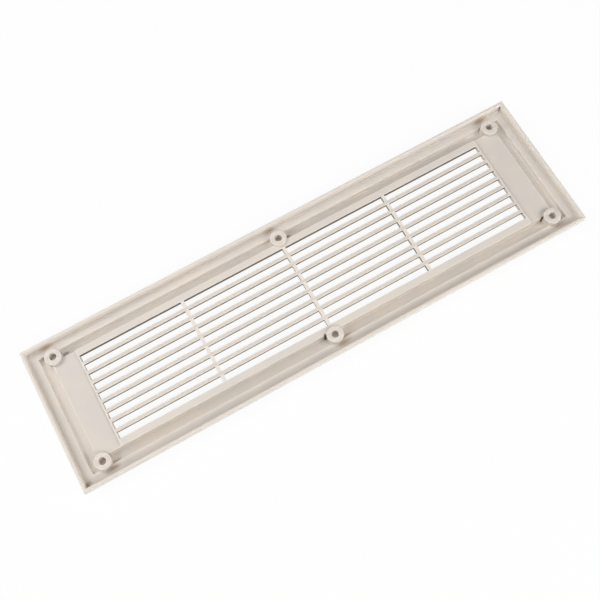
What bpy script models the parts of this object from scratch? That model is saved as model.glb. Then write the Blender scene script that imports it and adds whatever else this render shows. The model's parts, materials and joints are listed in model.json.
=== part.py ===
"""Louvred air outlet grille, moulded in one piece of ABS, lying on its front face.

The front (room side) is down at z = 0 and the back (duct side) is up. X runs along
the slats, Y across them, and the origin is under the middle of the grille.
"""

import math

import bmesh
import bpy
from mathutils import Matrix, Vector

MM = 0.001

# Outline
LENGTH = 370 * MM
WIDTH = 101.5 * MM
HEIGHT = 10 * MM  # front crown to the back edge of the rim

# Rim that stands round the back and meets the wall
RIM_WALL = 2.4 * MM
RIM_DRAFT = 0.4 * MM
RIM_OUTER_RADIUS = 0.5 * MM
RIM_INNER_RADIUS = 1.2 * MM
RIM_FOOT_RADIUS = 2.0 * MM

# Hollow flange between the rim and the groove, as depths below the rim's edge
FLANGE_WIDTH = 8.8 * MM
FLANGE_DEPTH_OUTER = 5.2 * MM
FLANGE_DEPTH_INNER = 4.8 * MM
LIP_RADIUS = 0.5 * MM

# Groove behind the raised bead of the front
GROOVE_WIDTH = 6.4 * MM
GROOVE_DEPTH = 7.6 * MM
GROOVE_DRAFT = 0.25 * MM
GROOVE_FOOT_RADIUS = 0.4 * MM

# Louvre field: end plates, raised ledges and lips round the slots
PLATE_DEPTH = 3.4 * MM
PLATE_SKIN = 1.9 * MM
PLATE_EDGE_RADIUS = 0.6 * MM
END_PLATE_WIDTH = 17.1 * MM
FIELD_DEPTH = 2.0 * MM  # back of the ledges, lips and slats below the rim's edge
LEDGE_WIDTH = 4.9 * MM
END_LIP_WIDTH = 1.4 * MM
FIELD_EDGE_RADIUS = 0.45 * MM

# Slats and cross ribs
SLAT_WIDTH = 2.6 * MM
SLAT_HEIGHT = 3.1 * MM
SLOT_WIDTH = 4.5 * MM
SLAT_BACK_RADIUS = 0.35 * MM
SLAT_FRONT_RADIUS = 1.0 * MM
RIB_WIDTH = 2.4 * MM
RIB_SPACING = 76.5 * MM
RIB_SETBACK = 0.15 * MM  # the ribs sit this much below the slats, back and front

# Screw bosses in the groove
BOSS_DIAMETER = 11.5 * MM
BOSS_DEPTH = 0.4 * MM  # boss seat below the rim's edge
BOSS_SIDE_INSET = 12.6 * MM
BOSS_END_INSET = 18.3 * MM
BOSS_EDGE_RADIUS = 0.8 * MM
PILOT_DIAMETER = 4.7 * MM
PILOT_DEPTH = 5.5 * MM
PILOT_CHAMFER = 0.3 * MM

# Front bead that frames the louvres on the room side
BEAD_STEP = 2.6 * MM
BEAD_OUTER_ROUND = 2.6 * MM
BEAD_INNER_ROUND = 1.6 * MM
BEAD_INNER_SLOPE = 1.4 * MM
FRONT_EDGE_RADIUS = 2.0 * MM
BEAD_WALL = 2.2 * MM  # plastic on each side of the groove

ARC_STEPS = 4
ROUND_SIDES = 36
BURY = 0.6 * MM  # how far a piece reaches into its neighbour before they are joined

# Heights that follow from the sizes above
RIM_TOP = HEIGHT
FIELD_TOP = HEIGHT - FIELD_DEPTH
PLATE_TOP = HEIGHT - PLATE_DEPTH
GROOVE_FLOOR = HEIGHT - GROOVE_DEPTH
LOUVRE_FRONT = PLATE_TOP - PLATE_SKIN
SLAT_FRONT = FIELD_TOP - SLAT_HEIGHT

# Insets from the outline that follow from the sizes above
LEDGE_INSET = FLANGE_WIDTH + GROOVE_WIDTH
SLOT_SIDE_INSET = LEDGE_INSET + LEDGE_WIDTH
SLOT_END_INSET = LEDGE_INSET + END_PLATE_WIDTH + END_LIP_WIDTH
FIELD_LENGTH = LENGTH - 2 * SLOT_END_INSET
FIELD_WIDTH = WIDTH - 2 * SLOT_SIDE_INSET


def rounded(corners, steps=ARC_STEPS):
    """Closed outline through corners (x, y, radius), each corner turned into a tangent arc."""
    points = []
    count = len(corners)
    for index, (x, y, radius) in enumerate(corners):
        here = Vector((x, y))
        back = Vector(corners[index - 1][:2]) - here
        ahead = Vector(corners[(index + 1) % count][:2]) - here
        half = back.angle(ahead) / 2
        reach = min(radius / math.tan(half), 0.48 * back.length, 0.48 * ahead.length)
        if reach <= 0:
            points.append((x, y))
            continue
        start = here + back.normalized() * reach
        end = here + ahead.normalized() * reach
        bisector = (back.normalized() + ahead.normalized()).normalized()
        centre = here + bisector * (reach / math.cos(half))
        sweep = (start - centre).angle_signed(end - centre)
        for step in range(steps + 1):
            spoke = Matrix.Rotation(-sweep * step / steps, 2) @ (start - centre)
            points.append(tuple(centre + spoke))
    return points


def new_object(name, mesh, collection):
    thing = bpy.data.objects.new(name, mesh)
    collection.objects.link(thing)
    return thing


def apply_modifiers(thing):
    """Gives the object its finished mesh, with outward faces and no doubled points."""
    bpy.context.view_layer.update()
    graph = bpy.context.evaluated_depsgraph_get()
    mesh = bpy.data.meshes.new_from_object(thing.evaluated_get(graph))
    work = bmesh.new()
    work.from_mesh(mesh)
    bmesh.ops.remove_doubles(work, verts=work.verts, dist=0.001 * MM)
    bmesh.ops.recalc_face_normals(work, faces=work.faces)
    work.to_mesh(mesh)
    work.free()
    rough = thing.data
    thing.modifiers.clear()
    thing.data = mesh
    bpy.data.meshes.remove(rough)


def mitred_frame(name, section, collection):
    """Rectangular frame of one section, a closed outline of (inset, height) points.

    Four steps of a turn make a square frame with mitred corners. Its two halves are
    then moved apart to the length.
    """
    count = len(section)
    profile = bpy.data.meshes.new(name)
    profile.from_pydata(
        [(WIDTH / 2 - inset, WIDTH / 2 - inset, height) for inset, height in section],
        [(index, (index + 1) % count) for index in range(count)],
        [],
    )
    frame = new_object(name, profile, collection)
    turn = frame.modifiers.new("Turn", "SCREW")
    turn.angle = math.tau
    turn.steps = 4
    turn.render_steps = 4
    turn.use_merge_vertices = True
    turn.merge_threshold = 0.01 * MM
    apply_modifiers(frame)
    for vertex in frame.data.vertices:
        vertex.co.x += math.copysign((LENGTH - WIDTH) / 2, vertex.co.x)
    return frame


def bar(name, section, length, collection, centre=(0, 0), crosswise=False):
    """Straight bar along X, or along Y if crosswise; its section holds (side, height) points."""
    work = bmesh.new()
    verts = [work.verts.new((-length / 2, side, height)) for side, height in section]
    end = work.faces.new(verts)
    swept = bmesh.ops.extrude_face_region(work, geom=[end])
    moved = [item for item in swept["geom"] if isinstance(item, bmesh.types.BMVert)]
    bmesh.ops.translate(work, verts=moved, vec=(length, 0, 0))
    bmesh.ops.recalc_face_normals(work, faces=work.faces)
    mesh = bpy.data.meshes.new(name)
    work.to_mesh(mesh)
    work.free()
    thing = new_object(name, mesh, collection)
    thing.location = (centre[0], centre[1], 0)
    if crosswise:
        thing.rotation_euler.z = math.radians(90)
    return thing


def turned(name, profile, place, collection):
    """Round body about an upright axis at place; the profile is (radius, height) down its side."""
    mesh = bpy.data.meshes.new(name)
    mesh.from_pydata(
        [(radius, 0, height) for radius, height in profile],
        [(index, index + 1) for index in range(len(profile) - 1)],
        [],
    )
    thing = new_object(name, mesh, collection)
    thing.location = (place[0], place[1], 0)
    turn = thing.modifiers.new("Turn", "SCREW")
    turn.angle = math.tau
    turn.steps = ROUND_SIDES
    turn.render_steps = ROUND_SIDES
    turn.use_merge_vertices = True
    turn.merge_threshold = 0.01 * MM
    return thing


def box_section(low, high, bottom, top, low_radii=(0, 0), high_radii=(0, 0)):
    """Rounded rectangle; the radii are (bottom, top) on the low side and on the high side."""
    return rounded([
        (low, bottom, low_radii[0]),
        (high, bottom, high_radii[0]),
        (high, top, high_radii[1]),
        (low, top, low_radii[1]),
    ])


def frame_section():
    """Rim, hollow flange, groove and ledge at the back; edge, bead and recess at the front."""
    foot = RIM_WALL + RIM_DRAFT
    flange_outer = HEIGHT - FLANGE_DEPTH_OUTER
    flange_inner = HEIGHT - FLANGE_DEPTH_INNER
    groove_in = FLANGE_WIDTH + GROOVE_DRAFT
    groove_out = LEDGE_INSET - GROOVE_DRAFT
    inner = LEDGE_INSET + BEAD_WALL
    bead_inner = inner - BEAD_INNER_SLOPE
    bead_outer = FLANGE_WIDTH - BEAD_WALL
    return rounded([
        (0, RIM_TOP, RIM_OUTER_RADIUS),
        (RIM_WALL, RIM_TOP, RIM_INNER_RADIUS),
        (foot, flange_outer, RIM_FOOT_RADIUS),
        (FLANGE_WIDTH, flange_inner, LIP_RADIUS),
        (groove_in, GROOVE_FLOOR, GROOVE_FOOT_RADIUS),
        (groove_out, GROOVE_FLOOR, GROOVE_FOOT_RADIUS),
        (LEDGE_INSET, PLATE_TOP, PLATE_EDGE_RADIUS),
        (inner, PLATE_TOP, 0),
        (inner, LOUVRE_FRONT, 0),
        (bead_inner, 0, BEAD_INNER_ROUND),
        (bead_outer, 0, BEAD_OUTER_ROUND),
        (bead_outer - BEAD_STEP / 2, BEAD_STEP, BEAD_STEP),
        (0, BEAD_STEP, FRONT_EDGE_RADIUS),
    ])


def add_plates(joined):
    """Plain plate at each end of the louvre field."""
    reach = LEDGE_INSET + BEAD_WALL - BURY
    across = WIDTH / 2 - reach
    outer = LENGTH / 2 - reach
    inner = FIELD_LENGTH / 2 + END_LIP_WIDTH / 2
    section = box_section(-across, across, LOUVRE_FRONT, PLATE_TOP)
    for side in (-1, 1):
        bar(f"plate_{side}", section, outer - inner, joined, (side * (outer + inner) / 2, 0))


def add_ledges(joined):
    """Raised ledge along each long side of the slots, from the groove's floor up."""
    low = FIELD_WIDTH / 2
    high = low + LEDGE_WIDTH
    radii = (0, FIELD_EDGE_RADIUS)
    section = box_section(low, high, LOUVRE_FRONT, FIELD_TOP, radii, radii)
    length = FIELD_LENGTH + 2 * END_LIP_WIDTH
    for side in (-1, 1):
        ledge = bar(f"ledge_{side}", section, length, joined)
        if side < 0:
            ledge.rotation_euler.z = math.pi


def add_lips(joined):
    """Narrow lip across each end of the slots."""
    radii = (0, FIELD_EDGE_RADIUS)
    section = box_section(-END_LIP_WIDTH / 2, END_LIP_WIDTH / 2, LOUVRE_FRONT, FIELD_TOP, radii, radii)
    for side in (-1, 1):
        place = side * (FIELD_LENGTH + END_LIP_WIDTH) / 2
        bar(f"lip_{side}", section, FIELD_WIDTH + BURY, joined, (place, 0), crosswise=True)


def add_slats(joined):
    """Straight slats, as many as the slot width asks for, spaced evenly over the field."""
    slots = max(1, round((FIELD_WIDTH + SLAT_WIDTH) / (SLOT_WIDTH + SLAT_WIDTH)))
    pitch = (FIELD_WIDTH + SLAT_WIDTH) / slots
    radii = (SLAT_FRONT_RADIUS, SLAT_BACK_RADIUS)
    section = box_section(-SLAT_WIDTH / 2, SLAT_WIDTH / 2, SLAT_FRONT, FIELD_TOP, radii, radii)
    for number in range(1, slots):
        place = -FIELD_WIDTH / 2 - SLAT_WIDTH / 2 + pitch * number
        bar(f"slat_{number}", section, FIELD_LENGTH + END_LIP_WIDTH, joined, (0, place))


def add_ribs(joined):
    """Cross ribs that tie the slats together, spread from the middle of the field."""
    pairs = max(0, math.ceil(FIELD_LENGTH / 2 / RIB_SPACING) - 1)
    section = box_section(-RIB_WIDTH / 2, RIB_WIDTH / 2, SLAT_FRONT + RIB_SETBACK, FIELD_TOP - RIB_SETBACK)
    for number in range(-pairs, pairs + 1):
        bar(f"rib_{number}", section, FIELD_WIDTH + BURY, joined, (number * RIB_SPACING, 0), crosswise=True)


def boss_places():
    """Centres of the screw bosses: both ends and the middle of each long side."""
    along = LENGTH / 2 - BOSS_END_INSET
    across = WIDTH / 2 - BOSS_SIDE_INSET
    return [(x, y) for x in (-along, 0, along) for y in (-across, across)]


def trim_root(boss, place, foot):
    """Flattens the boss below the foot height, so that it stays behind the bead's inner wall."""
    side = math.copysign(1, place[1])
    limit = WIDTH / 2 - LEDGE_INSET - BEAD_WALL / 2 - abs(place[1])
    for vertex in boss.data.vertices:
        if vertex.co.z < foot and side * vertex.co.y < limit:
            vertex.co.y = side * limit


def add_bosses(joined, pilots):
    """Screw bosses that stand in the groove, and the blind pilot holes cut in them."""
    seat = HEIGHT - BOSS_DEPTH
    radius = BOSS_DIAMETER / 2
    base = GROOVE_FLOOR - BURY
    foot = LOUVRE_FRONT + 2 * BURY
    bore = PILOT_DIAMETER / 2
    edge = BOSS_EDGE_RADIUS
    arc = [math.radians(90 * step / ARC_STEPS) for step in range(ARC_STEPS + 1)]
    shoulder = [(radius - edge + edge * math.sin(a), seat - edge + edge * math.cos(a)) for a in arc]
    for number, place in enumerate(boss_places(), 1):
        side = [(0, seat), *shoulder, (radius, foot), (radius, foot - BURY), (radius, base), (0, base)]
        boss = turned(f"boss_{number}", side, place, joined)
        apply_modifiers(boss)
        trim_root(boss, place, foot - BURY / 2)
        mouth = bore + PILOT_CHAMFER
        hole = [
            (0, seat + BURY),
            (mouth + BURY, seat + BURY),
            (mouth, seat),
            (bore, seat - PILOT_CHAMFER),
            (bore, seat - PILOT_DEPTH),
            (0, seat - PILOT_DEPTH),
        ]
        turned(f"pilot_{number}", hole, place, pilots)


def boolean(thing, operation, collection):
    modifier = thing.modifiers.new(operation.title(), "BOOLEAN")
    modifier.operation = operation
    modifier.operand_type = "COLLECTION"
    modifier.collection = collection
    modifier.solver = "EXACT"


def grille_material():
    """Cream-grey ABS with a satin moulded finish."""
    material = bpy.data.materials.new("cream_abs")
    material.use_nodes = True
    shader = material.node_tree.nodes["Principled BSDF"]
    shader.inputs["Base Color"].default_value = (0.72, 0.66, 0.58, 1)
    shader.inputs["Roughness"].default_value = 0.42
    shader.inputs["Metallic"].default_value = 0
    return material


def main():
    for thing in list(bpy.data.objects):
        bpy.data.objects.remove(thing, do_unlink=True)
    parts = bpy.data.collections.new("air_outlet_grille")
    joined = bpy.data.collections.new("grille_pieces")
    pilots = bpy.data.collections.new("pilot_cutters")
    for collection in (parts, joined, pilots):
        bpy.context.scene.collection.children.link(collection)

    grille = mitred_frame("vent_grille", frame_section(), parts)
    add_plates(joined)
    add_ledges(joined)
    add_lips(joined)
    add_slats(joined)
    add_ribs(joined)
    add_bosses(joined, pilots)
    for guide in [*joined.objects, *pilots.objects]:
        guide.hide_render = True
        guide.display_type = "WIRE"
    boolean(grille, "UNION", joined)
    boolean(grille, "DIFFERENCE", pilots)
    weld = grille.modifiers.new("Weld", "WELD")
    weld.merge_threshold = 0.01 * MM
    grille.data.materials.append(grille_material())
    grille.data.shade_smooth()
    grille.data.set_sharp_from_angle(angle=math.radians(35))


main()
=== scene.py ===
"""Scene for the louvred air outlet grille: moulding, plastic, floor, lights and camera.

The grille is rebuilt from the sizes of its CAD source with finer rounds, and takes the place of
the CAD solid. Lengths are in metres, and the grille lies on its front face with its back up.
"""

import json
import math

import bmesh
import bpy
from mathutils import Euler, Matrix, Vector

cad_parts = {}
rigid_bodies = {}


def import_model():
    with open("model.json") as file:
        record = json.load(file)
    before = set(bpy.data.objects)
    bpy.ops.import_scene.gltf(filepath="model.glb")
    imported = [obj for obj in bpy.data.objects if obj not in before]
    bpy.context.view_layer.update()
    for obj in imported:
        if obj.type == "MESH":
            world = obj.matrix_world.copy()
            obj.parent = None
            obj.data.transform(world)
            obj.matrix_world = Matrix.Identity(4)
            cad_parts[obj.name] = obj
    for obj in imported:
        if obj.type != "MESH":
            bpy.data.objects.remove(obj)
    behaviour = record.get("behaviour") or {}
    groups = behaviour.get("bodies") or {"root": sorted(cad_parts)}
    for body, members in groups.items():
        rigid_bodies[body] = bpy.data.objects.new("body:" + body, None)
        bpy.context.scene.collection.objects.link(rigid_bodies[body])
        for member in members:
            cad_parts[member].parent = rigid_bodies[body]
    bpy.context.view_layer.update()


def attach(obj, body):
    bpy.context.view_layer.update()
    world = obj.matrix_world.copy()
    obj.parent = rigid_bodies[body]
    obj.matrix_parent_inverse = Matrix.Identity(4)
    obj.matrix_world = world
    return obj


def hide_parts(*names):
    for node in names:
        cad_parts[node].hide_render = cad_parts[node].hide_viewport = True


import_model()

MM = 0.001

# Outline
LENGTH = 370 * MM
WIDTH = 101.5 * MM
HEIGHT = 10 * MM  # front crown to the back edge of the rim

# Rim that stands round the back and meets the wall
RIM_WALL = 2.4 * MM
RIM_DRAFT = 0.4 * MM
RIM_OUTER_RADIUS = 0.5 * MM
RIM_INNER_RADIUS = 1.2 * MM
RIM_FOOT_RADIUS = 2.0 * MM

# Hollow flange between the rim and the groove, as depths below the rim's edge
FLANGE_WIDTH = 8.8 * MM
FLANGE_DEPTH_OUTER = 5.2 * MM
FLANGE_DEPTH_INNER = 4.8 * MM
LIP_RADIUS = 0.5 * MM

# Groove behind the raised bead of the front, with a softer outer foot than the CAD source's
GROOVE_WIDTH = 6.4 * MM
GROOVE_DEPTH = 7.6 * MM
GROOVE_DRAFT = 0.25 * MM
GROOVE_FOOT_RADIUS = 0.4 * MM
SOFT_FOOT_DRAFT = 0.5 * MM
SOFT_FOOT_RADIUS = 1.2 * MM

# Louvre field: end plates, raised ledges and lips round the slots
PLATE_DEPTH = 3.4 * MM
PLATE_SKIN = 1.9 * MM
PLATE_EDGE_RADIUS = 0.6 * MM
END_PLATE_WIDTH = 17.1 * MM
FIELD_DEPTH = 2.0 * MM  # back of the ledges, lips and slats below the rim's edge
LEDGE_WIDTH = 4.9 * MM
END_LIP_WIDTH = 1.4 * MM
FIELD_EDGE_RADIUS = 0.45 * MM

# Slats and cross ribs
SLOTS = 9
SLAT_WIDTH = 2.6 * MM
SLAT_HEIGHT = 3.1 * MM
SLAT_BACK_RADIUS = 0.35 * MM
SLAT_FRONT_RADIUS = 1.0 * MM
RIB_WIDTH = 2.4 * MM
RIB_SPACING = 76.5 * MM
RIB_SETBACK = 0.15 * MM  # the ribs sit this much below the slats, back and front

# Screw bosses in the groove
BOSS_DIAMETER = 11.5 * MM
BOSS_DEPTH = 0.4 * MM  # boss seat below the rim's edge
BOSS_SIDE_INSET = 12.6 * MM
BOSS_END_INSET = 18.3 * MM
BOSS_EDGE_RADIUS = 0.8 * MM
PILOT_DIAMETER = 4.7 * MM
PILOT_DEPTH = 5.5 * MM
PILOT_CHAMFER = 0.3 * MM

# Front bead that frames the louvres on the room side
BEAD_STEP = 2.6 * MM
BEAD_OUTER_ROUND = 2.6 * MM
BEAD_INNER_ROUND = 1.6 * MM
BEAD_INNER_SLOPE = 1.4 * MM
FRONT_EDGE_RADIUS = 2.0 * MM
BEAD_WALL = 2.2 * MM  # plastic on each side of the groove

# Meshing
ARC_STEPS = 8
ROUND_SIDES = 96
FRAME_SIDES = 4
BURY = 0.6 * MM  # how far a piece reaches into its neighbour before they are joined
WELD = 0.01 * MM
SAME_POINT = 0.001 * MM
MOST_OF_SIDE = 0.48  # an arc takes at most this share of a side
SHARP_ANGLE = math.radians(35)

# Heights that follow from the sizes above
FIELD_TOP = HEIGHT - FIELD_DEPTH
PLATE_TOP = HEIGHT - PLATE_DEPTH
GROOVE_FLOOR = HEIGHT - GROOVE_DEPTH
LOUVRE_FRONT = PLATE_TOP - PLATE_SKIN
SLAT_FRONT = FIELD_TOP - SLAT_HEIGHT

# Insets from the outline and places from the middle that follow from the sizes above
LEDGE_INSET = FLANGE_WIDTH + GROOVE_WIDTH
FIELD_LENGTH = LENGTH - 2 * (LEDGE_INSET + END_PLATE_WIDTH + END_LIP_WIDTH)
FIELD_WIDTH = WIDTH - 2 * (LEDGE_INSET + LEDGE_WIDTH)
SLAT_PITCH = (FIELD_WIDTH + SLAT_WIDTH) / SLOTS
BOSS_ALONG = LENGTH / 2 - BOSS_END_INSET
BOSS_ACROSS = WIDTH / 2 - BOSS_SIDE_INSET


# The moulding

def rounded(corners):
    """Closed outline through corners (x, y, radius), each corner turned into a tangent arc."""
    points = []
    count = len(corners)
    for index, (x, y, radius) in enumerate(corners):
        here = Vector((x, y))
        back = Vector(corners[index - 1][:2]) - here
        ahead = Vector(corners[(index + 1) % count][:2]) - here
        half = back.angle(ahead) / 2
        most = MOST_OF_SIDE * min(back.length, ahead.length)
        reach = min(radius / math.tan(half), most)
        if reach <= 0:
            points.append((x, y))
            continue
        start = here + back.normalized() * reach
        end = here + ahead.normalized() * reach
        bisector = (back.normalized() + ahead.normalized()).normalized()
        centre = here + bisector * (reach / math.cos(half))
        sweep = (start - centre).angle_signed(end - centre)
        for step in range(ARC_STEPS + 1):
            spoke = Matrix.Rotation(-sweep * step / ARC_STEPS, 2) @ (start - centre)
            points.append(tuple(centre + spoke))
    return points


def new_object(name, data, collection):
    thing = bpy.data.objects.new(name, data)
    collection.objects.link(thing)
    return thing


def apply_modifiers(thing):
    """Swaps the mesh for its modified one, with doubled points merged and normals outward."""
    bpy.context.view_layer.update()
    graph = bpy.context.evaluated_depsgraph_get()
    mesh = bpy.data.meshes.new_from_object(thing.evaluated_get(graph))
    work = bmesh.new()
    work.from_mesh(mesh)
    bmesh.ops.remove_doubles(work, verts=work.verts, dist=SAME_POINT)
    bmesh.ops.recalc_face_normals(work, faces=work.faces)
    work.to_mesh(mesh)
    work.free()
    rough = thing.data
    thing.modifiers.clear()
    thing.data = mesh
    bpy.data.meshes.remove(rough)


def add_turn(thing, steps):
    """Screw modifier that turns a profile once about the upright axis."""
    turn = thing.modifiers.new("Turn", "SCREW")
    turn.angle = math.tau
    turn.steps = turn.render_steps = steps
    turn.use_merge_vertices = True
    turn.merge_threshold = WELD


def mitred_frame(name, section, collection):
    """Rectangular frame of one section, a closed outline of (inset, height) points.

    Four steps of a turn make a square frame with mitred corners. Its two halves are
    then moved apart to the length.
    """
    count = len(section)
    profile = bpy.data.meshes.new(name)
    profile.from_pydata(
        [(WIDTH / 2 - inset, WIDTH / 2 - inset, height) for inset, height in section],
        [(index, (index + 1) % count) for index in range(count)],
        [],
    )
    thing = new_object(name, profile, collection)
    add_turn(thing, FRAME_SIDES)
    apply_modifiers(thing)
    for vertex in thing.data.vertices:
        vertex.co.x += math.copysign((LENGTH - WIDTH) / 2, vertex.co.x)
    return thing


def bar(name, section, length, collection, centre=(0, 0), turn=0):
    """Straight bar along X of one section of (side, height) points, turned in degrees about Z."""
    work = bmesh.new()
    verts = [work.verts.new((-length / 2, side, height)) for side, height in section]
    swept = bmesh.ops.extrude_face_region(work, geom=[work.faces.new(verts)])
    moved = [item for item in swept["geom"] if isinstance(item, bmesh.types.BMVert)]
    bmesh.ops.translate(work, verts=moved, vec=(length, 0, 0))
    bmesh.ops.recalc_face_normals(work, faces=work.faces)
    mesh = bpy.data.meshes.new(name)
    work.to_mesh(mesh)
    work.free()
    thing = new_object(name, mesh, collection)
    thing.location = (centre[0], centre[1], 0)
    thing.rotation_euler.z = math.radians(turn)


def turned(name, profile, place, collection):
    """Round body about an upright axis; the profile is (radius, height) down its side."""
    mesh = bpy.data.meshes.new(name)
    mesh.from_pydata(
        [(radius, 0, height) for radius, height in profile],
        [(index, index + 1) for index in range(len(profile) - 1)],
        [],
    )
    thing = new_object(name, mesh, collection)
    thing.location = (place[0], place[1], 0)
    add_turn(thing, ROUND_SIDES)
    return thing


def box_section(low, high, bottom, top, bottom_radius=0, top_radius=0):
    return rounded([
        (low, bottom, bottom_radius),
        (high, bottom, bottom_radius),
        (high, top, top_radius),
        (low, top, top_radius),
    ])


def frame_section():
    """Rim, hollow flange, groove and ledge at the back; edge, bead and recess at the front."""
    inner = LEDGE_INSET + BEAD_WALL
    bead_outer = FLANGE_WIDTH - BEAD_WALL
    return rounded([
        (0, HEIGHT, RIM_OUTER_RADIUS),
        (RIM_WALL, HEIGHT, RIM_INNER_RADIUS),
        (RIM_WALL + RIM_DRAFT, HEIGHT - FLANGE_DEPTH_OUTER, RIM_FOOT_RADIUS),
        (FLANGE_WIDTH, HEIGHT - FLANGE_DEPTH_INNER, LIP_RADIUS),
        (FLANGE_WIDTH + SOFT_FOOT_DRAFT, GROOVE_FLOOR, SOFT_FOOT_RADIUS),
        (LEDGE_INSET - GROOVE_DRAFT, GROOVE_FLOOR, GROOVE_FOOT_RADIUS),
        (LEDGE_INSET, PLATE_TOP, PLATE_EDGE_RADIUS),
        (inner, PLATE_TOP, 0),
        (inner, LOUVRE_FRONT, 0),
        (inner - BEAD_INNER_SLOPE, 0, BEAD_INNER_ROUND),
        (bead_outer, 0, BEAD_OUTER_ROUND),
        (bead_outer - BEAD_STEP / 2, BEAD_STEP, BEAD_STEP),
        (0, BEAD_STEP, FRONT_EDGE_RADIUS),
    ])


def add_plate(joined, side):
    """Plain plate at one end of the louvre field."""
    reach = LEDGE_INSET + BEAD_WALL - BURY
    across = WIDTH / 2 - reach
    outer = LENGTH / 2 - reach
    inner = FIELD_LENGTH / 2 + END_LIP_WIDTH / 2
    section = box_section(-across, across, LOUVRE_FRONT, PLATE_TOP)
    bar(f"plate_{side}", section, outer - inner, joined, (side * (outer + inner) / 2, 0))


def add_ledge(joined, side):
    """Raised ledge along one long side of the slots."""
    low = FIELD_WIDTH / 2
    section = box_section(low, low + LEDGE_WIDTH, LOUVRE_FRONT, FIELD_TOP, 0, FIELD_EDGE_RADIUS)
    length = FIELD_LENGTH + 2 * END_LIP_WIDTH
    bar(f"ledge_{side}", section, length, joined, turn=0 if side > 0 else 180)


def add_lip(joined, side):
    """Narrow lip across one end of the slots."""
    half = END_LIP_WIDTH / 2
    section = box_section(-half, half, LOUVRE_FRONT, FIELD_TOP, 0, FIELD_EDGE_RADIUS)
    place = side * (FIELD_LENGTH + END_LIP_WIDTH) / 2
    bar(f"lip_{side}", section, FIELD_WIDTH + BURY, joined, (place, 0), 90)


def add_slats(joined):
    """Straight slats, spaced evenly over the field."""
    half = SLAT_WIDTH / 2
    section = box_section(-half, half, SLAT_FRONT, FIELD_TOP, SLAT_FRONT_RADIUS, SLAT_BACK_RADIUS)
    for number in range(1, SLOTS):
        place = -FIELD_WIDTH / 2 - SLAT_WIDTH / 2 + SLAT_PITCH * number
        bar(f"slat_{number}", section, FIELD_LENGTH + END_LIP_WIDTH, joined, (0, place))


def add_ribs(joined):
    """Cross ribs that tie the slats together."""
    half = RIB_WIDTH / 2
    section = box_section(-half, half, SLAT_FRONT + RIB_SETBACK, FIELD_TOP - RIB_SETBACK)
    for number in (-1, 0, 1):
        bar(f"rib_{number}", section, FIELD_WIDTH + BURY, joined, (number * RIB_SPACING, 0), 90)


def trim_root(boss, place, foot):
    """Flattens the boss below the foot height, so that it stays behind the bead's inner wall."""
    inward = math.copysign(1, place[1])
    limit = WIDTH / 2 - LEDGE_INSET - BEAD_WALL / 2 - abs(place[1])
    for vertex in boss.data.vertices:
        if vertex.co.z < foot and inward * vertex.co.y < limit:
            vertex.co.y = inward * limit


def add_bosses(joined, pilots):
    """Screw bosses that stand in the groove, and the blind pilot holes cut in them."""
    seat = HEIGHT - BOSS_DEPTH
    radius = BOSS_DIAMETER / 2
    base = GROOVE_FLOOR - BURY
    foot = LOUVRE_FRONT + 2 * BURY
    bore = PILOT_DIAMETER / 2
    mouth = bore + PILOT_CHAMFER
    edge = BOSS_EDGE_RADIUS
    arc = [math.radians(90 * step / ARC_STEPS) for step in range(ARC_STEPS + 1)]
    shoulder = [(radius - edge + edge * math.sin(a), seat - edge + edge * math.cos(a)) for a in arc]
    side = [(0, seat), *shoulder, (radius, foot), (radius, foot - BURY), (radius, base), (0, base)]
    hole = [
        (0, seat + BURY),
        (mouth + BURY, seat + BURY),
        (mouth, seat),
        (bore, seat - PILOT_CHAMFER),
        (bore, seat - PILOT_DEPTH),
        (0, seat - PILOT_DEPTH),
    ]
    places = [(x, y) for x in (-BOSS_ALONG, 0, BOSS_ALONG) for y in (-BOSS_ACROSS, BOSS_ACROSS)]
    for number, place in enumerate(places, 1):
        boss = turned(f"boss_{number}", side, place, joined)
        apply_modifiers(boss)
        trim_root(boss, place, foot - BURY / 2)
        turned(f"pilot_{number}", hole, place, pilots)


def boolean(thing, operation, collection):
    modifier = thing.modifiers.new(operation.title(), "BOOLEAN")
    modifier.operation = operation
    modifier.operand_type = "COLLECTION"
    modifier.collection = collection
    modifier.solver = "EXACT"


def remove_collection(collection):
    for thing in list(collection.objects):
        mesh = thing.data
        bpy.data.objects.remove(thing, do_unlink=True)
        bpy.data.meshes.remove(mesh)
    bpy.data.collections.remove(collection)


def build_grille():
    """One solid: the mitred frame with its field and bosses joined on and the pilots cut out."""
    joined = bpy.data.collections.new("joined")
    pilots = bpy.data.collections.new("pilots")
    for collection in (joined, pilots):
        bpy.context.scene.collection.children.link(collection)
    grille = mitred_frame("grille_moulding", frame_section(), bpy.context.scene.collection)
    for side in (-1, 1):
        add_plate(joined, side)
        add_ledge(joined, side)
        add_lip(joined, side)
    add_slats(joined)
    add_ribs(joined)
    add_bosses(joined, pilots)
    boolean(grille, "UNION", joined)
    boolean(grille, "DIFFERENCE", pilots)
    weld = grille.modifiers.new("Weld", "WELD")
    weld.merge_threshold = WELD
    apply_modifiers(grille)
    remove_collection(joined)
    remove_collection(pilots)
    grille.data.shade_smooth()
    grille.data.set_sharp_from_angle(angle=SHARP_ANGLE)
    normals = grille.modifiers.new("Flat faces", "WEIGHTED_NORMAL")
    normals.keep_sharp = True
    return grille


# Shader helpers

def put(tree, kind, inputs=None, **settings):
    """Adds a node; each input is a plain value or the socket that feeds it."""
    node = tree.nodes.new(kind)
    for name, value in settings.items():
        setattr(node, name, value)
    for name, value in (inputs or {}).items():
        if isinstance(value, bpy.types.NodeSocket):
            tree.links.new(value, node.inputs[name])
        else:
            node.inputs[name].default_value = value
    return node


def maths(tree, operation, first, second=0.0):
    return put(tree, "ShaderNodeMath", {0: first, 1: second}, operation=operation).outputs[0]


def product(tree, first, *others):
    for other in others:
        first = maths(tree, "MULTIPLY", first, other)
    return first


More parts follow.
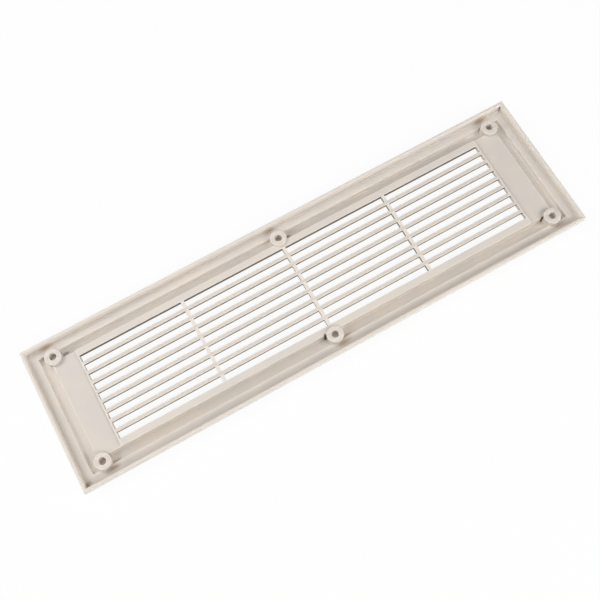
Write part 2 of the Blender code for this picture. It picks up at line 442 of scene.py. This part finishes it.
def largest(tree, first, *others):
    for other in others:
        first = maths(tree, "MAXIMUM", first, other)
    return first


def above(tree, value, limit):
    return maths(tree, "GREATER_THAN", value, limit)


def below(tree, value, limit):
    return maths(tree, "LESS_THAN", value, limit)


def distance(tree, first, second):
    return maths(tree, "ABSOLUTE", maths(tree, "SUBTRACT", first, second))


def ramp(tree, value, low, high, start=0.0, end=1.0):
    """Smooth step of a value from start at low to end at high."""
    limits = {"Value": value, "From Min": low, "From Max": high, "To Min": start, "To Max": end}
    return put(tree, "ShaderNodeMapRange", limits, interpolation_type="SMOOTHSTEP").outputs[0]


def vector_maths(tree, operation, first, second=(0, 0, 0)):
    node = put(tree, "ShaderNodeVectorMath", {0: first, 1: second}, operation=operation)
    return node.outputs["Value" if operation == "LENGTH" else "Vector"]


def mix_colour(tree, share, first, second):
    """Mix of two colours; the node's inputs share names between types, so they go by number."""
    return put(tree, "ShaderNodeMix", {0: share, 6: first, 7: second}, data_type="RGBA").outputs[2]


def noise(tree, vector, scale, detail, rough, stretch=None):
    """Noise of about 0 to 1; a stretch below 1 on an axis draws it out along that axis."""
    if stretch:
        vector = vector_maths(tree, "MULTIPLY", vector, stretch)
    inputs = {"Vector": vector, "Scale": scale, "Detail": detail, "Roughness": rough}
    return put(tree, "ShaderNodeTexNoise", inputs).outputs["Fac"]


# The plastic

CREAM = (0.716, 0.652, 0.590, 1)
CREAM_WARM = (0.742, 0.668, 0.588, 1)
CREAM_COOL = (0.692, 0.638, 0.590, 1)
# Pale tone painted on as highlights where edges and walls catch the light
HIGHLIGHT_TONE = (0.890, 0.820, 0.740, 1)
# Brown tone of the painted shade at the foot of walls, and of the plastic's own specks
SHADE_AND_SPECK_TONE = (0.400, 0.325, 0.245, 1)
# Dark tone of the painted shade on the slots' walls and in corners
DEEP_SHADE_TONE = (0.145, 0.104, 0.056, 1)
# Brown tone of the painted shadows beside the bosses and at the rim's foot
SHADOW_BROWN = (0.400, 0.260, 0.095, 1)
PLASTIC_IOR = 1.52

# Noise patterns: scale per mm, detail, roughness and stretch
CLOUD_NOISE = (0.035, 4.0, 0.5)
STREAK_NOISE = (1.0, 3.0, 0.6, (0.02, 0.22, 0.22))  # drawn out along the slats
PATCH_NOISE = (0.55, 5.0, 0.65)
BROWN_SHADOW_NOISE = (0.8, 3.0, 0.6)
GRAIN_NOISE = (3.2, 3.0, 0.6)
WAVE_NOISE = (0.12, 2.0, 0.5)
SPECK_SCALE = 0.33

# A ramp is (from, to), or (from, to, value at from, value at to). Ramps of noise:
CLOUDS = (0.35, 0.65)
STREAKS = (0.35, 0.68)
SHADE_PATCHES = (0.3, 0.75, 0.35, 1.0)
BROWN_SHADOW_PATCHES = (0.2, 0.6, 0.75, 1.0)
SPECK_EDGE = (0.075, 0.035)
GRAIN_GLOSS = (0.3, 0.7, 0.40, 0.48)
CLOUD_GLOSS = (0.0, 1.0, -0.02, 0.03)

# Ramps of the normal: how square to X or Y a wall stands, and where the hidden front begins
WALL = (0.6, 0.9)
BACK = (-0.35, -0.10)

# Ramps of the height above the front, in mm, that place the painted highlights and shade
FIELD_BACK = (7.3, 7.7)  # backs of the slats, ledges and lips
SLOT_WALL_TOP = (7.9, 7.6, 0.0, 0.88)
PLATE_BACK = (6.1, 6.5)
PLATE_SHADOW = (7.2, 6.8)
RIM_RISE = (5.8, 7.4)
RIM_CROWN = (9.3, 9.9, 1.0, 0.50)
RIM_FOOT = (7.4, 5.6)
GROOVE_LOW = (GROOVE_FLOOR / MM + 0.9, GROOVE_FLOOR / MM)
GROOVE_BELOW_LIP = (5.2, 4.2)
BOSS_BACK = (8.6, 9.0)
PILOT_SHAFT = (7.5, 4.3)
MARKS_TOP = (8.9, 7.9)

# Ramps of the inset from the outline, in mm, for painted highlights, and painted shade at the rim's
# foot and low in the groove
OUTER_SIDE = (0.25, 0.05)
RIM_INSIDE = (3.0, 2.6)
RIM_FOOT_SHADE = (4.2, 2.9)
FLANGE_LIP = (6.8, 8.0, 0.0, 0.20)
FLANGE_LIP_END = (9.2, 8.8)
GROOVE_SIDE = (8.3, 8.8)
GROOVE_MIDDLE = (11.5, 9.3)
GROOVE_SHADE = (8.2, 8.9)
LEFT_GROOVE_SIDE = (9.0, 9.4)

# Ramps of the distance from a slat's middle, a plate's edge, a lip and a boss's axis, in mm, for
# painted highlights
SLAT_SIDE = (0.45, 1.1, 0.15, 1.0)
PLATE_EDGE = (0.75, 0.3)
END_LIP = (0.9, 0.6)
PILOT_RING = (3.5, 2.6)
BOSS_RING = (4.5, 5.2)

# Ramps and limits along X and Y, in mm; painted light makes the groove's left end paler than the
# rest, and painted shadow lies beside the end lips
LEFT_GROOVE = (-168.5, -169.5, 0.0, 0.42)
LEFT_GROOVE_CORNERS = (42.0, 36.0)
LIP_SHADOW = (154.2, 153.0)
PAST_RIBS = 100.0

# Places and limits that follow from the sizes, in mm; a limit lies just past or short of a face
FIELD_END = FIELD_LENGTH / MM / 2
FIELD_SIDE = FIELD_WIDTH / MM / 2
SLOTS_END = FIELD_END + 0.1
SLOTS_SIDE = FIELD_SIDE + 0.6
SLOT_END_FACE = (FIELD_END - 0.1, FIELD_END + 0.5)
LEDGE_START = LEDGE_INSET / MM - 0.2
RIM_START = RIM_WALL / MM - 0.3
PLATE_EDGE_INSET = LEDGE_INSET / MM + 0.3
END_LIP_PLACE = FIELD_END + END_LIP_WIDTH / MM / 2
# Where the painted shadow beside the end lips begins, and how far across it reaches
LIP_SHADOW_START = FIELD_END + END_LIP_WIDTH / MM - 0.1
LIP_SHADOW_ACROSS = FIELD_SIDE + LEDGE_WIDTH / MM - 0.15
BOSS_LIMIT = BOSS_DIAMETER / MM / 2 + 0.05
PILOT_LIMIT = PILOT_DIAMETER / MM / 2 + 0.1

# Shares of each tone: the pale ones are painted highlights, the streaks and specks the plastic's
# own, the rest painted shade
STREAK_SHARE = 0.35
SLAT_PALE = 0.75
PLATE_PALE = 0.50
GROOVE_PALE = 0.50
END_LIP_PALE = 0.50
LEDGE_PALE = 0.22
BOSS_PALE = 0.55
GROOVE_SHARE = 0.05
RIM_FOOT_SHARE = 0.38
LIP_SHADOW_SHARE = 0.22
RIB_WALL_SHADE = 0.7  # painted shade on the ribs' walls beside that on the slats' walls
SPECK_SHARE = 0.18

# Bumps, as strength and depth
GRAIN_BUMP = (0.10, 0.04 * MM)
WAVE_BUMP = (0.25, 0.2 * MM)

# Painted shade in a corner of the rim and in corners beside the bosses: middle x, y, half sizes
# along x and y in mm, and share of the dark shade tone
CORNER_SHADE = (
    (182.2, 48.1, 0.9, 0.7, 0.70),
    (-159.2, 38.4, 2.2, 0.8, 0.55),
    (161.2, -35.6, 0.9, 0.9, 0.90),
    (162.1, 42.0, 0.9, 0.7, 0.60),
    (-173.4, 42.0, 1.3, 0.7, 0.45),
    (-158.6, -40.6, 2.4, 0.6, 0.30),
    (-5.9, -35.9, 1.1, 1.6, 0.90),
    (7.2, 38.4, 1.8, 0.9, 0.58),
    (8.2, -40.6, 1.8, 0.7, 0.20),
)
CORNER_SHADE_FADE = (1.3, 0.6)  # where a mark is gone and where it is full, in its half sizes

# Painted brown shadows along the foot of the rim, beside the bosses and in a corner, laid out
# likewise, with its share of brown
BROWN_SHADOWS = (
    (-181.2, -45.8, 2.0, 2.0, 0.44),
    (-181.6, -48.0, 1.2, 0.6, 0.52),
    (-168.5, 47.4, 4.6, 1.1, 0.66),
    (-2.5, 47.3, 4.6, 1.2, 0.55),
    (165.4, 47.1, 5.4, 1.3, 0.64),
    (-162.6, -44.5, 4.4, 1.3, 0.70),
    (3.8, -44.6, 4.4, 1.4, 0.50),
    (169.8, -44.6, 4.2, 1.3, 0.32),
)
BROWN_SHADOW_FADE = (1.45, 0.1)


class Surface:
    """Sockets that say where a point lies on the grille, in mm, and which way it faces."""

    def __init__(self, tree):
        coordinates = put(tree, "ShaderNodeTexCoord").outputs
        per_metre = (1 / MM, 1 / MM, 1 / MM)
        self.place = vector_maths(tree, "MULTIPLY", coordinates["Object"], per_metre)
        self.x, self.y, self.height = put(tree, "ShaderNodeSeparateXYZ", {0: self.place}).outputs
        self.far_x = maths(tree, "ABSOLUTE", self.x)
        self.far_y = maths(tree, "ABSOLUTE", self.y)
        self.inset = maths(tree, "MINIMUM",
                           maths(tree, "SUBTRACT", LENGTH / MM / 2, self.far_x),
                           maths(tree, "SUBTRACT", WIDTH / MM / 2, self.far_y))
        self.in_field = product(tree, below(tree, self.far_x, SLOTS_END),
                                below(tree, self.far_y, SLOTS_SIDE))
        self.field_back = ramp(tree, self.height, *FIELD_BACK)
        along = maths(tree, "MINIMUM", self.far_x, distance(tree, self.far_x, BOSS_ALONG / MM))
        across = maths(tree, "SUBTRACT", self.far_y, BOSS_ACROSS / MM)
        from_boss = put(tree, "ShaderNodeCombineXYZ", {0: along, 1: across}).outputs[0]
        self.from_boss = vector_maths(tree, "LENGTH", from_boss)
        normal = put(tree, "ShaderNodeSeparateXYZ", {0: coordinates["Normal"]}).outputs
        self.end_wall = ramp(tree, maths(tree, "ABSOLUTE", normal[0]), *WALL)
        self.side_wall = ramp(tree, maths(tree, "ABSOLUTE", normal[1]), *WALL)
        self.at_back = ramp(tree, normal[2], *BACK)


def frame_highlights(tree, at):
    """Painted light: paler outer side, rim, lip of the flange and groove, with the groove's left
    end.
    """
    rim = product(tree, ramp(tree, at.inset, *RIM_INSIDE), ramp(tree, at.height, *RIM_RISE),
                  ramp(tree, at.height, *RIM_CROWN))
    lip = product(tree, ramp(tree, at.inset, *FLANGE_LIP), ramp(tree, at.inset, *FLANGE_LIP_END))
    groove = product(tree, ramp(tree, at.inset, *GROOVE_MIDDLE), ramp(tree, at.inset, *GROOVE_SIDE),
                     GROOVE_PALE)
    left_groove = product(tree, ramp(tree, at.x, *LEFT_GROOVE),
                          ramp(tree, at.inset, *LEFT_GROOVE_SIDE),
                          ramp(tree, at.height, *GROOVE_BELOW_LIP),
                          ramp(tree, at.far_y, *LEFT_GROOVE_CORNERS))
    return largest(tree, ramp(tree, at.inset, *OUTER_SIDE), rim, lip, groove, left_groove)


def field_highlights(tree, at):
    """Painted highlights: paler sides of the slats, ledges, end lips, ends of the slots and edges
    of the plates.
    """
    pitch = SLAT_PITCH / MM
    shifted = maths(tree, "ADD", at.y, (FIELD_WIDTH + SLAT_WIDTH) / MM / 2)
    from_slat = put(tree, "ShaderNodeMath", {0: shifted, 1: pitch / 2, 2: -pitch / 2},
                    operation="WRAP").outputs[0]
    slats = product(tree, ramp(tree, maths(tree, "ABSOLUTE", from_slat), *SLAT_SIDE),
                    at.in_field, at.field_back, SLAT_PALE)
    ledges = product(tree, at.field_back, above(tree, at.far_y, FIELD_SIDE),
                     above(tree, at.inset, LEDGE_START), LEDGE_PALE)
    lips = product(tree, ramp(tree, distance(tree, at.far_x, END_LIP_PLACE), *END_LIP),
                   at.field_back, END_LIP_PALE)
    slot_ends = product(tree, at.end_wall, above(tree, at.far_x, SLOT_END_FACE[0]),
                        below(tree, at.far_x, SLOT_END_FACE[1]))
    plates = product(tree, ramp(tree, distance(tree, at.inset, PLATE_EDGE_INSET), *PLATE_EDGE),
                     ramp(tree, at.height, *PLATE_BACK), PLATE_PALE)
    return largest(tree, slats, ledges, lips, slot_ends, plates)


def boss_highlights(tree, at):
    """Painted highlights: paler rings on the seats of the bosses, and paler floors of the pilot
    holes.
    """
    rings = largest(tree, ramp(tree, at.from_boss, *PILOT_RING),
                    ramp(tree, at.from_boss, *BOSS_RING))
    seats = product(tree, rings, ramp(tree, at.height, *BOSS_BACK),
                    below(tree, at.from_boss, BOSS_LIMIT), BOSS_PALE)
    floors = product(tree, below(tree, at.from_boss, PILOT_LIMIT),
                     ramp(tree, at.height, *PILOT_SHAFT))
    return largest(tree, seats, floors)


def wall_foot_shade(tree, at):
    """Patchy painted shade low in the groove, at the foot of the rim and beside the end lips."""
    groove = product(tree, ramp(tree, at.height, *GROOVE_LOW),
                     ramp(tree, at.inset, *GROOVE_SHADE), GROOVE_SHARE)
    foot = product(tree, ramp(tree, at.height, *RIM_FOOT), ramp(tree, at.inset, *RIM_FOOT_SHADE),
                   above(tree, at.inset, RIM_START), RIM_FOOT_SHARE)
    by_lip = product(tree, ramp(tree, at.far_x, *LIP_SHADOW), ramp(tree, at.height, *PLATE_SHADOW),
                     above(tree, at.far_x, LIP_SHADOW_START),
                     below(tree, at.far_y, LIP_SHADOW_ACROSS), LIP_SHADOW_SHARE)
    patches = ramp(tree, noise(tree, at.place, *PATCH_NOISE), *SHADE_PATCHES)
    return product(tree, largest(tree, groove, foot, by_lip), patches)


def slot_wall_shade(tree, at):
    """Painted shade on the long walls of the slots and, a little less, on the walls of the ribs."""
    rib_walls = product(tree, at.end_wall, below(tree, at.far_x, PAST_RIBS), RIB_WALL_SHADE)
    return product(tree, largest(tree, at.side_wall, rib_walls), at.in_field,
                   ramp(tree, at.height, *SLOT_WALL_TOP))


def marks(tree, at, spots, fade):
    """Soft oval marks of painted shade, kept off the tops of the rim and bosses."""
    mask = 0.0
    for x, y, wide, deep, share in spots:
        off = vector_maths(tree, "SUBTRACT", at.place, (x, y, 0))
        off = vector_maths(tree, "MULTIPLY", off, (1 / wide, 1 / deep, 0))
        mask = largest(tree, mask, ramp(tree, vector_maths(tree, "LENGTH", off), *fade, 0.0, share))
    return product(tree, mask, ramp(tree, at.height, *MARKS_TOP))


def plastic_colour(tree, at, clouds):
    """Flow clouds and streaks, then painted highlights, painted shade at the foot of walls, on the
    slots' walls and in corners, painted brown shadows, and specks.
    """
    colour = mix_colour(tree, clouds, CREAM_COOL, CREAM_WARM)
    streaks = ramp(tree, noise(tree, at.place, *STREAK_NOISE), *STREAKS)
    colour = mix_colour(tree, product(tree, streaks, STREAK_SHARE), colour, CREAM)
    pale = largest(tree, frame_highlights(tree, at), field_highlights(tree, at), boss_highlights(tree, at))
    patches = ramp(tree, noise(tree, at.place, *BROWN_SHADOW_NOISE), *BROWN_SHADOW_PATCHES)
    brown_shadows = product(tree, marks(tree, at, BROWN_SHADOWS, BROWN_SHADOW_FADE), patches)
    corner_shade = marks(tree, at, CORNER_SHADE, CORNER_SHADE_FADE)
    colour = mix_colour(tree, product(tree, pale, at.at_back), colour, HIGHLIGHT_TONE)
    colour = mix_colour(tree, product(tree, wall_foot_shade(tree, at), at.at_back), colour, SHADE_AND_SPECK_TONE)
    colour = mix_colour(tree, slot_wall_shade(tree, at), colour, DEEP_SHADE_TONE)
    colour = mix_colour(tree, product(tree, corner_shade, at.at_back), colour, DEEP_SHADE_TONE)
    colour = mix_colour(tree, product(tree, brown_shadows, at.at_back), colour, SHADOW_BROWN)
    specks = put(tree, "ShaderNodeTexVoronoi",
                 {"Vector": at.place, "Scale": SPECK_SCALE, "Randomness": 1.0})
    specks = ramp(tree, specks.outputs["Distance"], *SPECK_EDGE)
    return mix_colour(tree, product(tree, specks, SPECK_SHARE), colour, SHADE_AND_SPECK_TONE)


def bump(tree, height, strength, depth, **normal):
    """Bump of a height, over the normal of an earlier bump where one is given as Normal."""
    inputs = {"Height": height, "Strength": strength, "Distance": depth, **normal}
    return put(tree, "ShaderNodeBump", inputs).outputs[0]


def grille_plastic():
    """Cream-grey ABS: a satin mould finish with fine grain, a slow wave and uneven gloss."""
    material = bpy.data.materials.new("cream_abs_satin")
    material.use_nodes = True
    tree = material.node_tree
    shader = tree.nodes["Principled BSDF"]
    at = Surface(tree)
    clouds = ramp(tree, noise(tree, at.place, *CLOUD_NOISE), *CLOUDS)
    grain = noise(tree, at.place, *GRAIN_NOISE)
    wave = noise(tree, at.place, *WAVE_NOISE)
    gloss = maths(tree, "ADD", ramp(tree, grain, *GRAIN_GLOSS), ramp(tree, clouds, *CLOUD_GLOSS))
    relief = bump(tree, wave, *WAVE_BUMP, Normal=bump(tree, grain, *GRAIN_BUMP))
    tree.links.new(plastic_colour(tree, at, clouds), shader.inputs["Base Color"])
    tree.links.new(gloss, shader.inputs["Roughness"])
    tree.links.new(relief, shader.inputs["Normal"])
    shader.inputs["IOR"].default_value = PLASTIC_IOR
    return material


# Floor and world

WHITE = (1, 1, 1, 1)
FLOOR_REACH = 3.0  # half of its side
FLOOR_WHITE = 0.93  # share of the floor's look that is plain white, the rest carries the shadow
FLOOR_FADE = (0.35, 0.9, FLOOR_WHITE, 1.0)  # away from the grille the floor turns all white
FLOOR_PALE = (0.92, 0.92, 0.92, 1)
FLOOR_SHADED_STRIP = (0.80, 0.80, 0.80, 1)  # darker strip under the grille, as the slots' walls see it: painted shade under the grille
STRIP_EDGE = (-0.004, 0.006)  # ramp from the strip to the open floor, at the outline
WORLD_STRENGTH = 0.03


def pale_floor():
    """Plain white to the camera and in reflections, less a share that keeps the shadow.

    The strip under the grille is painted darker, as shade, and mirrors less, so the slots don't
    glow from below.
    """
    material = bpy.data.materials.new("pale_floor")
    material.use_nodes = True
    tree = material.node_tree
    tree.nodes.remove(tree.nodes["Principled BSDF"])
    place = put(tree, "ShaderNodeTexCoord").outputs["Object"]
    axes = put(tree, "ShaderNodeSeparateXYZ", {0: place}).outputs
    far_x = maths(tree, "ABSOLUTE", axes[0])
    far_y = maths(tree, "ABSOLUTE", axes[1])
    outward = largest(tree, maths(tree, "SUBTRACT", far_x, LENGTH / 2),
                      maths(tree, "SUBTRACT", far_y, WIDTH / 2))
    open_floor = ramp(tree, outward, *STRIP_EDGE)
    path = put(tree, "ShaderNodeLightPath").outputs
    seen = path["Is Camera Ray"]
    mirrored = largest(tree, path["Is Glossy Ray"], path["Is Transmission Ray"])
    white_share = product(tree, largest(tree, seen, product(tree, mirrored, open_floor)),
                          ramp(tree, largest(tree, far_x, far_y), *FLOOR_FADE))
    tone = mix_colour(tree, largest(tree, seen, open_floor), FLOOR_SHADED_STRIP, FLOOR_PALE)
    matt = put(tree, "ShaderNodeBsdfDiffuse", {"Color": tone}).outputs[0]
    white = put(tree, "ShaderNodeEmission", {"Color": WHITE, "Strength": 1.0}).outputs[0]
    both = put(tree, "ShaderNodeMixShader", {0: white_share, 1: matt, 2: white})
    tree.links.new(both.outputs[0], tree.nodes["Material Output"].inputs[0])
    return material


def add_floor():
    mesh = bpy.data.meshes.new("floor")
    work = bmesh.new()
    bmesh.ops.create_grid(work, x_segments=1, y_segments=1, size=FLOOR_REACH)
    work.to_mesh(mesh)
    work.free()
    mesh.materials.append(pale_floor())
    floor = new_object("floor", mesh, bpy.context.scene.collection)


def add_world():
    """Faint even light that the camera sees as plain white."""
    world = bpy.data.worlds.new("studio")
    bpy.context.scene.world = world
    world.use_nodes = True
    tree = world.node_tree
    soft = tree.nodes["Background"]
    soft.inputs[0].default_value = WHITE
    soft.inputs[1].default_value = WORLD_STRENGTH
    seen = put(tree, "ShaderNodeLightPath").outputs["Is Camera Ray"]
    white = put(tree, "ShaderNodeBackground", {0: WHITE, 1: 1.0})
    both = put(tree, "ShaderNodeMixShader", {0: seen, 1: soft.outputs[0], 2: white.outputs[0]})
    tree.links.new(both.outputs[0], tree.nodes["World Output"].inputs[0])


# Lights and camera

SOFTBOX_SIDE = 0.55
SOFTBOX_DISTANCE = 1.2
# Softboxes: name, azimuth from +X towards +Y and elevation in degrees, and watts
SOFTBOXES = (
    ("front_right", 315, 40, 5.5),
    ("right_low", 315, 15, 2.3),
    ("back_left", 135, 40, 4.4),
    ("left", 180, 40, 3.2),
    ("left_low", 180, 15, 1.6),
    ("front", 270, 40, 3.0),
    ("back_high", 90, 65, 3.1),
)

# Camera, worked out from the outline's corners and the bosses in the photograph
CAMERA_PLACE = (-82.862 * MM, -153.917 * MM, 531.599 * MM)
CAMERA_TURN = (17.4922, 2.1852, -28.7638)  # degrees about X, Y and Z
CAMERA_SENSOR = 36
CAMERA_LENS = 50.28
CAMERA_SHIFT = 0.0366
CAMERA_NEAR = 10 * MM


def add_softbox(name, azimuth, elevation, watts):
    """Square area light aimed at the middle of the grille."""
    lamp = bpy.data.lights.new(name, "AREA")
    lamp.shape = "RECTANGLE"
    lamp.size = lamp.size_y = SOFTBOX_SIDE
    lamp.energy = watts
    thing = new_object(name, lamp, bpy.context.scene.collection)
    turn = math.radians(azimuth)
    rise = math.radians(elevation)
    aim = Vector((math.cos(turn) * math.cos(rise), math.sin(turn) * math.cos(rise), math.sin(rise)))
    thing.location = aim * SOFTBOX_DISTANCE
    thing.rotation_euler = aim.to_track_quat("Z", "Y").to_euler()


def add_camera():
    data = bpy.data.cameras.new("camera")
    data.sensor_width = CAMERA_SENSOR
    data.lens = CAMERA_LENS
    data.shift_x = CAMERA_SHIFT
    data.clip_start = CAMERA_NEAR
    camera = new_object("camera", data, bpy.context.scene.collection)
    turn = Euler([math.radians(angle) for angle in CAMERA_TURN])
    camera.matrix_world = Matrix.LocRotScale(Vector(CAMERA_PLACE), turn, None)
    bpy.context.scene.camera = camera


grille = build_grille()
grille.data.materials.clear()
grille.data.materials.append(grille_plastic())
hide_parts("vent_grille")
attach(grille, "root")

add_floor()
add_world()
for softbox in SOFTBOXES:
    add_softbox(*softbox)
add_camera()
bpy.context.scene.view_settings.view_transform = "Standard"
